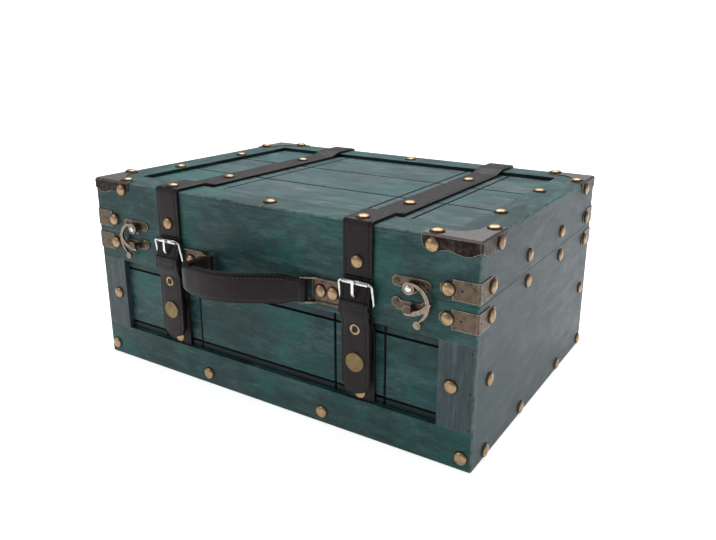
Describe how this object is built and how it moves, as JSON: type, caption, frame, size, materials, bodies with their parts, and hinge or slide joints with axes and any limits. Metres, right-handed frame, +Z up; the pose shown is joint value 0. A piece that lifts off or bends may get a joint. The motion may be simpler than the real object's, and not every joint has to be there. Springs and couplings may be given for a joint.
{
  "type": "wooden trunk",
  "caption": "Suitcase-shaped wooden keepsake trunk with a hinged lid, leather straps, buckles, swing-hook latches, metal corners and a bowed leather handle.",
  "frame": {"origin": "centre of the box's footprint on its bottom resting face", "axes": "+X to the right along the long front, +Y to the hinged back, +Z up"},
  "size_m": [0.3872, 0.3106, 0.1763],
  "materials": {
    "stained_wood": "teal stain, worn, open grain",
    "strap_leather": "near-black brown, semi-matt",
    "aged_brass": "antique, darkened in the low places",
    "dark_bronze": "dark stamped sheet with bright worn edges",
    "bright_chrome": "polished, slightly dull"
  },
  "bodies": {
    "base": {"base_back": "stained_wood", "base_bottom": "stained_wood", "base_corner_plates": "dark_bronze", "base_dome_nails": "aged_brass", "base_end_left": "stained_wood", "base_end_right": "stained_wood", "base_front_bottom_rail": "stained_wood", "base_front_panel": "stained_wood", "base_front_stiles": "stained_wood", "base_front_top_rail": "stained_wood", "base_screws": "dark_bronze", "handle_bracket_left": "dark_bronze", "handle_bracket_right": "dark_bronze", "handle_strap": "strap_leather", "latch_catch_left": "dark_bronze", "latch_catch_right": "dark_bronze", "under_strap_left": "strap_leather", "under_strap_right": "strap_leather", "snap_studs": "aged_brass", "hinge_base_leaves": "dark_bronze", "hinge_pins": "dark_bronze"},
    "lid": {"corner_cap_back_left": "dark_bronze", "corner_cap_back_right": "dark_bronze", "corner_cap_front_left": "dark_bronze", "corner_cap_front_right": "dark_bronze", "latch_plate_left": "dark_bronze", "latch_plate_right": "dark_bronze", "lid_back": "stained_wood", "lid_corner_plates": "dark_bronze", "lid_dome_nails": "aged_brass", "lid_end_left": "stained_wood", "lid_end_rails": "stained_wood", "lid_end_right": "stained_wood", "lid_front": "stained_wood", "lid_plank_back": "stained_wood", "lid_plank_front": "stained_wood", "lid_plank_middle": "stained_wood", "lid_screws": "dark_bronze", "lid_strap_left": "strap_leather", "lid_strap_right": "strap_leather", "lid_top_rail_back": "stained_wood", "lid_top_rail_front": "stained_wood", "latch_rivets": "bright_chrome", "hinge_lid_leaves": "dark_bronze"},
    "hook_left": {"latch_hook_left": "dark_bronze"},
    "tail_left": {"strap_tail_left": "strap_leather", "buckle_frame_left": "bright_chrome", "strap_keeper_left": "strap_leather", "strap_eyelet_left": "aged_brass", "snap_cap_left": "aged_brass"},
    "roller_left": {"buckle_roller_left": "bright_chrome"},
    "prong_left": {"buckle_prong_left": "bright_chrome"},
    "hook_right": {"latch_hook_right": "dark_bronze"},
    "tail_right": {"strap_tail_right": "strap_leather", "buckle_frame_right": "bright_chrome", "strap_keeper_right": "strap_leather", "strap_eyelet_right": "aged_brass", "snap_cap_right": "aged_brass"},
    "roller_right": {"buckle_roller_right": "bright_chrome"},
    "prong_right": {"buckle_prong_right": "bright_chrome"}
  },
  "joints": [
    {"name": "lid_hinge", "type": "hinge", "parent": "base", "child": "lid", "pos_m": [0, 0.1356, 0.126], "axis": [-1, 0, 0], "range_deg": [0, 100]},
    {"name": "hook_swing_left", "type": "hinge", "parent": "lid", "child": "hook_left", "pos_m": [-0.1395, -0.1377, 0.1315], "axis": [0, 1, 0], "range_deg": [0, 100]},
    {"name": "strap_flex_left", "type": "hinge", "parent": "lid", "child": "tail_left", "pos_m": [-0.096, -0.13425, 0.1305], "axis": [-1, 0, 0], "range_deg": [0, 70]},
    {"name": "roller_spin_left", "type": "hinge", "parent": "tail_left", "child": "roller_left", "pos_m": [-0.096, -0.1384, 0.1275], "axis": [1, 0, 0], "continuous": true},
    {"name": "prong_tilt_left", "type": "hinge", "parent": "tail_left", "child": "prong_left", "pos_m": [-0.096, -0.1354, 0.1105], "axis": [1, 0, 0], "range_deg": [0, 8]},
    {"name": "hook_swing_right", "type": "hinge", "parent": "lid", "child": "hook_right", "pos_m": [0.1395, -0.1377, 0.1315], "axis": [0, -1, 0], "range_deg": [0, 100]},
    {"name": "strap_flex_right", "type": "hinge", "parent": "lid", "child": "tail_right", "pos_m": [0.096, -0.13425, 0.1305], "axis": [-1, 0, 0], "range_deg": [0, 70]},
    {"name": "roller_spin_right", "type": "hinge", "parent": "tail_right", "child": "roller_right", "pos_m": [0.096, -0.1384, 0.1275], "axis": [1, 0, 0], "continuous": true},
    {"name": "prong_tilt_right", "type": "hinge", "parent": "tail_right", "child": "prong_right", "pos_m": [0.096, -0.1354, 0.1105], "axis": [1, 0, 0], "range_deg": [0, 8]}
  ]
}
